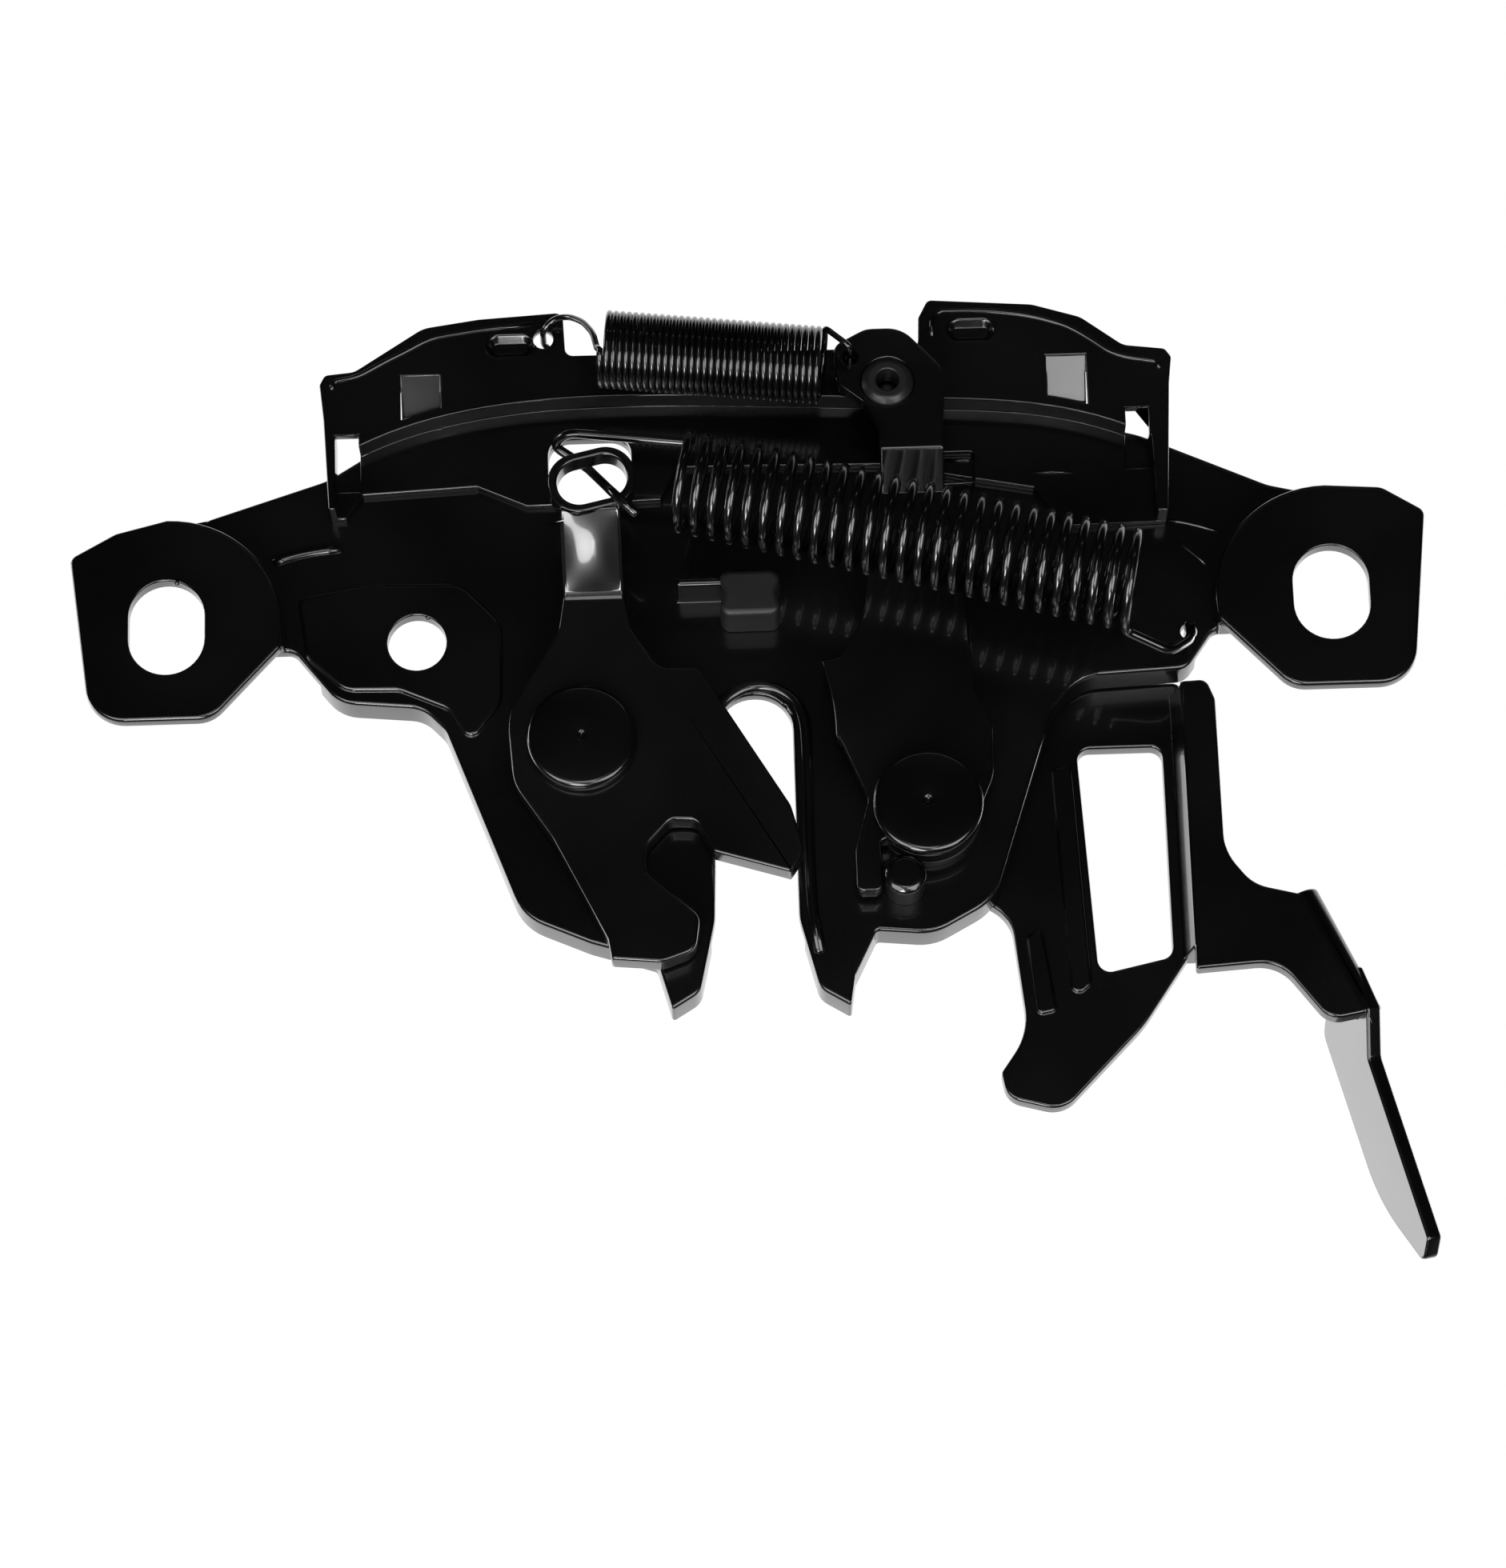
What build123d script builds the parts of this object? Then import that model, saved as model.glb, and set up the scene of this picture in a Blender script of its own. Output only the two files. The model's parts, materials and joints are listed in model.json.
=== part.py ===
from build123d import *
import math
import os

# Mounting pads and the stamped plate. X runs to the right, Y into the part, Z up.
mount_spacing = 172.0
slot_radius = 5.6
slot_length = 14.8
pad_radius = 17.2
pad_foot = -14.6
sheet = 2.6
plate_front = 2.4
plate_rear = plate_front + sheet
lip_depth = 6.3
locating_hole_radius = 4.35
locating_hole_at = (-49.3, -1.9)
emboss_height = 0.6
striker_slot_width = 11.0
striker_slot_top = -11.6
spring_anchor_at = (65.0, -3.6)
spring_anchor_radius = 1.25

# Thin pressing on the front of the plate.
bracket_sheet = 1.5
ear_front = -3.1
web_front = plate_front - bracket_sheet
ear_slot_length = 7.2
ear_slot_height = 3.6
ear_slot_depth = 1.1
dart_width = 6.0

# Claw, pawl and their pivots.
claw_pivot = (-25.0, -19.7)
pawl_pivot = (25.2, -31.5)
claw_thickness = 4.0
claw_rear_gap = 0.8
blade_front = plate_front - claw_rear_gap - claw_thickness
pawl_thickness = 3.0
pivot_shoulder_radius = 5.0
running_clearance = 0.05
pivot_shank_radius = 4.0
rivet_head_radius = 8.1
rivet_head_height = 1.75
washer_radius = 7.9
front_washer_thickness = 0.55
side_play = 0.05
claw_rim_radius = 36.8
rim_clearance = 0.4
claw_arm_width = 9.0
claw_arm_reach = 10.2
eye_width = 10.4
eye_height = 6.9
eye_wall = 1.3
eye_tilt = 13.0
eye_centre_z = 17.4
pawl_arm_width = 9.5
pawl_arm_step = 5.0
cable_bush_radius = 3.9

# Safety lever, its bush and its handle.
lever_stand_off = 4.0
lever_front = plate_rear + lever_stand_off
lever_sheet = 3.0
lever_bush_radius = 6.5
lever_journal_radius = 5.5
lever_washer_radius = 9.0
lever_washer_thickness = 1.2
handle_front = 3.0
handle_web = 2.6
web_slant = 2.0
handle_bend_radius = 3.4
handle_bend_length = 20.5
handle_bend_top = (78.7, -44.8)
handle_bend_tilt = 24.1
finger_sheet = 2.4
finger_length = 53.6
finger_front = 4.7
finger_rear = 14.2

# Springs.
main_wire = 1.6
main_coil_radius = 7.05
main_turns = 26.5
pawl_wire = 0.9
pawl_coil_radius = 5.4
pawl_turns = 33
lever_wire = 1.1
lever_coil_radius = 7.6
lever_pitch = 1.16
lever_turns = 2.25
leg_hole_radius = 0.85
ear_hole_at = (-29.6, 44.4)
arm_hole_at = (16.2, 38.0)
plate_leg_at = (18.5, -23.9)
lever_leg_at = (32.8, -37.0)

# Stops.
buffer_at = (0.2, 1.9)
buffer_width = 9.8
buffer_height = 7.2
buffer_front = -5.0
buffer_tab_start = -10.7
buffer_tab_end = 3.2
buffer_tab_z = 3.4
buffer_tab_sheet = 1.6
buffer_tab_reach = 6.6
stop_pin_at = (21.5, -42.3)
stop_pin_radius = 1.9
stop_sleeve_radius = 2.9
stop_head_radius = 3.1

os.makedirs("parts", exist_ok=True)


def face_at(y):
    """Sketch plane across Y, seen from the front, that extrudes towards the viewer."""
    return Plane.XZ.offset(-y)


def turned(at, profile):
    """A solid turned about the Y direction through a point, from (radius, y) corners."""
    x, z = at
    with BuildPart() as piece:
        with BuildSketch(Plane(origin=(x, 0, z), x_dir=(1, 0, 0), z_dir=(0, 0, 1))):
            with BuildLine():
                Polyline(*profile, close=True)
            make_face()
        revolve(axis=Axis((x, 0, z), (0, 1, 0)))
    return piece


# Stamped plate: outline of the flat between the two pads.
half_slot = striker_slot_width / 2
slot_x = 0.4
pad_x = mount_spacing / 2
buffer_tab_centre = ((buffer_tab_start + buffer_tab_end) / 2, buffer_tab_z + buffer_tab_sheet / 2)
plate_corners = [
    ((2.0 - pad_x, 6.0), 0),
    ((1.5 - pad_x, 16.9), 0),
    ((6.0 - pad_x, 19.2), 3),
    ((-62.5, 24.9), 10),
    ((-54.0, 30.2), 8),
    ((-33.0, 35.5), 60),
    ((36.0, 33.8), 60),
    ((59.0, 28.4), 14),
    ((pad_x - 8.0, 19.6), 8),
    ((pad_x - 1.5, 18.0), 0),
    ((pad_x - 2.0, 6.0), 0),
    ((pad_x - 11.0, -3.5), 0),
    ((pad_x - 17.4, -3.5), 2),
    ((64.4, -9.5), 3),
    ((48.6, -10.3), 7),
    ((44.2, -15.4), 4),
    ((34.6, -44.6), 8),
    ((25.5, -49.6), 8),
    ((17.2, -48.8), 0.8),
    ((13.9, -55.4), 1),
    ((13.1, -60.2), 0),
    ((8.6, -57.4), 3),
    ((slot_x + half_slot, -46.5), 8),
    ((slot_x + half_slot, striker_slot_top), half_slot - 0.02),
    ((slot_x - half_slot, striker_slot_top), half_slot - 0.02),
    ((-6.3, -46.5), 10),
    ((-8.7, -57.4), 3),
    ((-12.9, -60.0), 0),
    ((-15.0, -52.4), 1),
    ((-24.5, -49.4), 6),
    ((-34.4, -45.0), 8),
    ((-45.3, -15.6), 4),
    ((-48.6, -12.1), 5),
    ((-61.0, -10.9), 6),
    ((18.4 - pad_x, -2.5), 2),
    ((11.0 - pad_x, -2.5), 0),
]
plate_points = [corner for corner, _ in plate_corners]
plate_radii = [radius for _, radius in plate_corners]

with BuildSketch(face_at(plate_rear)) as plate_outline:
    with BuildLine():
        FilletPolyline(*plate_points, radius=plate_radii, close=True)
    make_face()

# The plate's return lip: a band inside the outline, along the lower contour only.
with BuildSketch(face_at(plate_front + lip_depth)) as lip_outline:
    with BuildLine():
        FilletPolyline(*plate_points, radius=plate_radii, close=True)
    make_face()
    offset(amount=-sheet, kind=Kind.INTERSECTION, mode=Mode.SUBTRACT)
    with Locations((0, 30)):
        Rectangle(240, 74, mode=Mode.SUBTRACT)
    with Locations((slot_x, -24)):
        Rectangle(striker_slot_width + 5.4, 50, mode=Mode.SUBTRACT)

with BuildPart() as base_plate:
    with BuildSketch(face_at(plate_rear)):
        add(plate_outline.sketch_local)
        with Locations((-pad_x, 0), (pad_x, 0)):
            Circle(pad_radius - sheet / 2, mode=Mode.SUBTRACT)
        with Locations((-23.1, 24.6)):
            RectangleRounded(12.4, 11.4, 3.2, mode=Mode.SUBTRACT)
        with Locations(claw_pivot, pawl_pivot):
            Circle(pivot_shank_radius, mode=Mode.SUBTRACT)
        with Locations(locating_hole_at):
            Circle(locating_hole_radius, mode=Mode.SUBTRACT)
        with Locations(spring_anchor_at):
            Circle(spring_anchor_radius, mode=Mode.SUBTRACT)
        with Locations(stop_pin_at):
            Circle(stop_pin_radius, mode=Mode.SUBTRACT)
        with Locations(plate_leg_at):
            Circle(leg_hole_radius, mode=Mode.SUBTRACT)
    extrude(amount=sheet)
    # Joggle walls that follow the round inner rims of the pads.
    with BuildSketch(face_at(plate_rear)):
        add(plate_outline.sketch_local)
        with Locations((-pad_x, 0), (pad_x, 0)):
            Circle(pad_radius, mode=Mode.INTERSECT)
        with Locations((-pad_x, 0), (pad_x, 0)):
            Circle(pad_radius - sheet, mode=Mode.SUBTRACT)
    extrude(amount=plate_rear + sheet)
    # Mounting pads with upright oblong holes.
    with BuildSketch(face_at(0)):
        with Locations((-pad_x, 0), (pad_x, 0)):
            Circle(pad_radius)
        Rectangle(2 * pad_x, 60, mode=Mode.INTERSECT)
        with BuildLine():
            FilletPolyline(
                (-pad_x, pad_radius), (-pad_x - 7.6, 15.3), (-pad_x - 14.4, 11.5), (-pad_x - 11.3, pad_foot),
                (-pad_x, pad_foot), radius=[0, 3, 1.6, 6, 0], close=True)
        make_face()
        with BuildLine():
            FilletPolyline(
                (pad_x, pad_radius), (pad_x + 8.4, 16.6), (pad_x + 14.6, 12.6), (pad_x + 11.5, pad_foot),
                (pad_x, pad_foot), radius=[0, 3, 1.6, 6, 0], close=True)
        make_face()
        for side in (-1, 1):
            inner_x = side * (pad_x - 6.7)
            with BuildLine():
                FilletPolyline(
                    (side * (pad_x + 0.6), pad_foot), (inner_x, pad_foot),
                    (inner_x - side * 14.0, pad_foot + 15.2), (inner_x - side * 14.0, pad_foot - 10.0),
                    (side * (pad_x + 0.6), pad_foot - 10.0), radius=[0, 5, 0, 0, 0], close=True)
            make_face(mode=Mode.SUBTRACT)
        with Locations((-pad_x, 0), (pad_x, 0)):
            SlotOverall(slot_length, slot_radius * 2, rotation=90, mode=Mode.SUBTRACT)
    extrude(amount=sheet)
    # Return lip.
    extrude(lip_outline.sketch, amount=lip_depth)
    # Shelf turned forwards for the rubber buffer.
    with BuildSketch(face_at(plate_front + 0.5)):
        with Locations(buffer_tab_centre):
            Rectangle(buffer_tab_end - buffer_tab_start, buffer_tab_sheet)
    extrude(amount=buffer_tab_reach + 0.5)
    # Raised field round the locating hole.
    with BuildSketch(face_at(plate_front)):
        with BuildLine():
            FilletPolyline(
                (-67.0, 5.8), (-55.0, 7.7), (-42.6, 7.4), (-36.6, 1.0), (-36.8, -12.0), (-41.6, -18.0),
                (-44.8, -12.6), (-52.0, -9.4), (-60.0, -9.2), (-65.6, -4.0),
                radius=[1.5, 8, 4, 5, 5, 1.5, 3, 4, 4, 2], close=True)
        make_face()
        with Locations(locating_hole_at):
            Circle(locating_hole_radius, mode=Mode.SUBTRACT)
    extrude(amount=emboss_height)
    with BuildSketch(face_at(plate_rear)):
        with BuildLine():
            FilletPolyline(
                (-64.0, 4.2), (-55.0, 5.7), (-43.6, 5.4), (-38.6, 0.4), (-38.9, -10.0), (-41.4, -7.4),
                (-60.0, -5.8), (-63.0, -2.6), radius=[1, 6, 3, 3, 1.2, 3, 3, 1], close=True)
        make_face()
    extrude(amount=emboss_height, mode=Mode.SUBTRACT)

# Front pressing: arch profile shared by the web, the step and the ears.
arch = [(-61.9, 25.2), (-52.6, 29.9), (-39.4, 33.3), (-12.0, 34.6), (26.6, 32.8), (46.0, 30.9), (62.6, 24.6)]

left_dart_x = -48.1
right_dart_x = 48.5
with BuildPart() as top_bracket:
    with BuildSketch(face_at(plate_front)) as web:
        with BuildLine():
            Polyline(arch[-1], (62.6, 13.6), (48.0, 13.1), (43.0, 19.5), (20.0, 24.0), (-10.0, 24.6))
            Polyline((-10.0, 24.6), (-12.6, 19.4), (-32.6, 19.0), (-40.0, 22.4), (-57.0, 21.6))
            Polyline((-57.0, 21.6), (-59.6, 17.8), (-61.9, 17.8), arch[0])
            Spline(*arch)
        make_face()
        with Locations((-23.1, 24.6)):
            RectangleRounded(12.4, 11.4, 3.2, mode=Mode.SUBTRACT)
        with Locations((31.2, 24.9)):
            SlotOverall(6.2, 1.4, mode=Mode.SUBTRACT)
    extrude(amount=bracket_sheet)
    with BuildSketch(face_at(plate_front)) as step:
        with BuildLine():
            Spline(*arch)
            Line(arch[-1], (arch[-1][0], arch[-1][1] + bracket_sheet))
            Spline(*[(x, z + bracket_sheet) for x, z in reversed(arch)])
            Line((arch[0][0], arch[0][1] + bracket_sheet), arch[0])
        make_face()
    extrude(amount=plate_front - ear_front)
    with BuildSketch(face_at(ear_front + bracket_sheet)) as ears:
        with BuildLine():
            Spline(*arch)
            Line(arch[-1], (64.3, 38.4))
            FilletPolyline(
                (64.3, 38.4), (63.4, 39.8), (57.2, 40.6), (51.0, 45.4), (43.8, 47.7), (28.2, 48.9),
                (26.7, 46.0), (26.5, 41.2), (-26.3, 41.6), (-26.6, 48.7), (-39.2, 48.0), (-47.6, 46.8),
                (-58.0, 40.0), (-62.4, 39.6), (-63.2, 38.0),
                radius=[1, 3, 4, 5, 1, 1, 1.2, 1.2, 1.2, 6, 5, 3, 1])
            Line((-63.2, 38.0), arch[0])
        make_face()
        with Locations(ear_hole_at):
            Circle(1.5, mode=Mode.SUBTRACT)
        with Locations((left_dart_x, 35.2), (right_dart_x, 35.2)):
            Rectangle(dart_width, 8.0, mode=Mode.SUBTRACT)
    extrude(amount=bracket_sheet)
    # Pressed slots with sloping walls.
    with BuildSketch(face_at(ear_front)):
        with Locations((-34.5, 43.4), (34.5, 43.7)):
            SlotOverall(ear_slot_length, ear_slot_height)
    extrude(amount=-ear_slot_depth, taper=40, mode=Mode.SUBTRACT)
    # End walls beside the relief openings.
    with BuildSketch(face_at(plate_front)):
        with BuildLine():
            Polyline((-61.9, 17.8), (-60.9, 17.8), (-60.9, 30.0), (-61.4, 38.0), (-62.9, 38.0), close=True)
        make_face()
        with BuildLine():
            Polyline((61.0, 13.6), (62.6, 13.6), (64.0, 38.0), (62.4, 38.0), (60.6, 30.5), close=True)
        make_face()
    extrude(amount=plate_front - ear_front)
    with BuildSketch(face_at(plate_front + 1)):
        with BuildLine():
            Polyline((-60.9, 22.2), (-57.4, 22.2), (-57.4, 29.6), (-60.9, 29.6), close=True)
        make_face()
        with BuildLine():
            Polyline((57.0, 22.2), (60.4, 22.2), (60.4, 30.2), (57.0, 30.2), close=True)
        make_face()
    extrude(amount=12, mode=Mode.SUBTRACT)
    # Sloped darts that stiffen the step.
    for dart_x in (left_dart_x, right_dart_x):
        with BuildSketch(Plane.YZ.offset(dart_x - dart_width / 2)):
            with BuildLine():
                Polyline(
                    (ear_front, 39.8), (ear_front + bracket_sheet, 40.4), (plate_front, 33.8),
                    (plate_front, 31.9), (web_front, 31.9), close=True)
            make_face()
        extrude(amount=dart_width)

# Claw: flat fork, then a slanted neck and an upright eye.
claw_rear = blade_front + claw_thickness
arm_x = -22.9
eye_front = blade_front - claw_arm_reach
hook_front = eye_front - 1.6
hook_rear = eye_front + claw_thickness + 3.0
with BuildPart() as claw:
    with BuildSketch(face_at(claw_rear)):
        with BuildLine():
            FilletPolyline(
                (-18.4, 3.0), (-17.4, -2.2), (-13.6, -8.4), (-7.6, -8.8), (5.2, -30.6), (7.0, -37.4),
                (5.4, -41.2), (-6.2, -37.6), (-8.6, -32.6), (-12.4, -32.4), (-15.9, -36.2), (-16.3, -40.0),
                (-8.4, -47.4), (-9.2, -52.6), (-14.0, -54.3), (-21.4, -53.6), (-21.9, -50.4), (-29.6, -34.6),
                (-35.2, -26.0), (-36.0, -15.2), (-28.2, -2.2), (-27.4, 3.0),
                radius=[0, 2, 3, 1.2, 4, 2.5, 0.6, 0.8, 1.8, 1.8, 2.4, 2.4, 2.4, 2.6, 4, 0.5, 1.5, 10, 8,
                        9, 3, 0], close=True)
        make_face()
        with Locations(claw_pivot):
            Circle(claw_rim_radius, mode=Mode.INTERSECT)
        with Locations(claw_pivot):
            Circle(pivot_shoulder_radius + running_clearance, mode=Mode.SUBTRACT)
    extrude(amount=claw_thickness)
    neck_shift = claw_thickness * math.tan(math.radians(22.5))
    with BuildSketch(Plane.YZ.offset(arm_x - claw_arm_width / 2)):
        with BuildLine():
            Polyline(
                (claw_rear, 0), (claw_rear, 3 + neck_shift),
                (claw_rear - claw_arm_reach, 3 + neck_shift + claw_arm_reach),
                (claw_rear - claw_arm_reach, eye_centre_z), (eye_front, eye_centre_z),
                (eye_front, 3 + claw_arm_reach), (blade_front, 3), (blade_front, 0), close=True)
        make_face()
    extrude(amount=claw_arm_width)
    with BuildSketch(face_at(eye_front + claw_thickness)):
        with Locations((-22.5, eye_centre_z)):
            RectangleRounded(eye_width + 2 * eye_wall, eye_height + 2 * eye_wall, 4.4, rotation=eye_tilt)
    extrude(amount=claw_thickness)
    with BuildSketch(face_at(eye_front + claw_thickness + 0.5)):
        with Locations((-22.5, eye_centre_z)):
            RectangleRounded(eye_width, eye_height, 3.3, rotation=eye_tilt)
    extrude(amount=claw_thickness + 1, mode=Mode.SUBTRACT)

# Pawl: toothed blade, stepped arm and the seat for the cable's end.
pawl_rear = blade_front + pawl_thickness
seat_front = blade_front - pawl_arm_step
with BuildPart() as pawl:
    with BuildSketch(face_at(pawl_rear)):
        with BuildLine():
            FilletPolyline(
                (8.0, -8.7), (7.6, -15.6), (13.0, -21.0), (16.6, -30.0), (14.4, -38.0), (14.4, -44.4),
                (18.2, -44.4), (18.2, -36.6), (31.6, -35.0), (35.0, -27.0), (35.2, -18.8), (32.6, -13.4),
                (32.2, -2.0), (29.6, 18.0), (20.1, 18.0), (16.6, -2.0), (13.2, -7.8),
                radius=[1, 0.4, 3, 3, 2, 1.2, 1.2, 0.6, 4, 6, 4, 6, 6, 0, 0, 8, 2], close=True)
        make_face()
        with Locations(stop_pin_at):
            Circle(stop_sleeve_radius + rim_clearance, mode=Mode.SUBTRACT)
        with Locations(claw_pivot):
            Circle(claw_rim_radius + rim_clearance, mode=Mode.SUBTRACT)
        with Locations(pawl_pivot):
            Circle(pivot_shoulder_radius + running_clearance, mode=Mode.SUBTRACT)
    extrude(amount=pawl_thickness)
    step_shift = pawl_thickness * math.tan(math.radians(22.5))
    with BuildSketch(Plane.YZ.offset(20.1)):
        with BuildLine():
            Polyline(
                (pawl_rear, 14), (pawl_rear, 18 + step_shift),
                (pawl_rear - pawl_arm_step, 18 + step_shift + pawl_arm_step),
                (pawl_rear - pawl_arm_step, 28), (seat_front, 28), (seat_front, 18 + pawl_arm_step),
                (blade_front, 18), (blade_front, 14), close=True)
        make_face()
    extrude(amount=pawl_arm_width)
    with BuildSketch(face_at(pawl_rear - pawl_arm_step)):
        with BuildLine():
            FilletPolyline(
                (20.1, 27.0), (18.0, 30.6), (13.9, 34.0), (13.8, 40.0), (18.6, 42.6), (24.0, 42.6),
                (29.8, 36.0), (30.0, 30.4), (29.6, 27.0),
                radius=[0, 3, 2, 2, 4, 5, 3, 1.5, 0], close=True)
        make_face()
        with Locations((21.6, 33.8)):
            Circle(cable_bush_radius, mode=Mode.SUBTRACT)
        with Locations(arm_hole_at):
            Circle(1.1, mode=Mode.SUBTRACT)
    extrude(amount=pawl_thickness)

# Pivot rivets and washers.
head_seat = blade_front - side_play - front_washer_thickness
shoulder_end = plate_front
lever_stack_end = lever_front + lever_sheet + 0.2 + lever_washer_thickness
shank = pivot_shank_radius
claw_rivet = turned(claw_pivot, [
    (0, head_seat - rivet_head_height), (4.6, head_seat - rivet_head_height),
    (rivet_head_radius - 0.7, head_seat - 0.9), (rivet_head_radius, head_seat - 0.3),
    (rivet_head_radius, head_seat), (pivot_shoulder_radius, head_seat),
    (pivot_shoulder_radius, shoulder_end), (shank, shoulder_end), (shank, plate_rear),
    (6.0, plate_rear), (5.4, plate_rear + 1.2), (3.4, plate_rear + 1.9), (0, plate_rear + 1.9)])
pawl_rivet = turned(pawl_pivot, [
    (0, head_seat - rivet_head_height), (4.6, head_seat - rivet_head_height),
    (rivet_head_radius - 0.7, head_seat - 0.9), (rivet_head_radius, head_seat - 0.3),
    (rivet_head_radius, head_seat), (pivot_shoulder_radius, head_seat),
    (pivot_shoulder_radius, shoulder_end), (shank, shoulder_end), (shank, lever_stack_end),
    (6.4, lever_stack_end), (5.8, lever_stack_end + 1.2), (3.6, lever_stack_end + 1.9),
    (0, lever_stack_end + 1.9)])


def washer(at, inner, outer, start, end):
    """A flat ring about the Y direction."""
    return turned(at, [(inner, start), (outer, start), (outer, end), (inner, end)])


claw_front_washer = washer(
    claw_pivot, pivot_shoulder_radius, washer_radius, head_seat, head_seat + front_washer_thickness)
claw_rear_washer = washer(
    claw_pivot, pivot_shoulder_radius, washer_radius, claw_rear + side_play, plate_front)
pawl_front_washer = washer(
    pawl_pivot, pivot_shoulder_radius, washer_radius, head_seat, head_seat + front_washer_thickness)
pawl_rear_washer = washer(
    pawl_pivot, pivot_shoulder_radius, washer_radius, pawl_rear + side_play, plate_front)
lever_washer = washer(
    pawl_pivot, shank, lever_washer_radius, lever_front + lever_sheet + 0.2, lever_stack_end)
lever_bush = turned(pawl_pivot, [
    (shank, plate_rear), (lever_bush_radius, plate_rear), (lever_bush_radius, lever_front - 0.1),
    (lever_journal_radius, lever_front - 0.1), (lever_journal_radius, lever_front + lever_sheet + 0.2),
    (shank, lever_front + lever_sheet + 0.2)])

# Stops and the cable's seat.
buffer_side = buffer_width / 2
buffer_top = buffer_at[1] + buffer_height / 2
buffer_foot = buffer_at[1] - buffer_height / 2
with BuildPart() as stop_buffer:
    with BuildSketch(face_at(plate_front)):
        with BuildLine():
            FilletPolyline(
                *[(buffer_at[0] + x, z) for x, z in (
                    (buffer_side, buffer_top), (buffer_side - 1.0, buffer_at[1]), (buffer_side, buffer_foot),
                    (-buffer_side, buffer_foot), (1.0 - buffer_side, buffer_at[1]), (-buffer_side, buffer_top))],
                radius=[1.5, 4.0, 1.5, 1.5, 4.0, 1.5], close=True)
        make_face()
    extrude(amount=plate_front - buffer_front)
    fillet(stop_buffer.faces().sort_by(Axis.Y)[0].edges(), radius=1.0)
    with BuildSketch(face_at(plate_front)):
        with Locations(buffer_tab_centre):
            Rectangle(buffer_tab_end - buffer_tab_start, buffer_tab_sheet)
    extrude(amount=buffer_tab_reach, mode=Mode.SUBTRACT)
stop_pin = turned(stop_pin_at, [
    (0, blade_front - 1.6), (stop_head_radius - 0.8, blade_front - 1.6), (stop_head_radius, blade_front - 1.0),
    (stop_head_radius, blade_front - 0.3), (stop_pin_radius, blade_front - 0.3),
    (stop_pin_radius, plate_rear), (stop_pin_radius + 1.0, plate_rear),
    (stop_pin_radius + 0.6, plate_rear + 0.9), (0, plate_rear + 0.9)])
stop_sleeve = washer(stop_pin_at, stop_pin_radius, stop_sleeve_radius, blade_front - 0.3, plate_front)
cable_bush = turned((21.6, 33.8), [
    (1.7, seat_front - 0.9), (2.9, seat_front - 0.9), (cable_bush_radius, seat_front),
    (cable_bush_radius, seat_front + pawl_thickness), (cable_bush_radius - 1.0, seat_front + pawl_thickness + 0.8),
    (1.7, seat_front + pawl_thickness + 0.8)])

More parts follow.
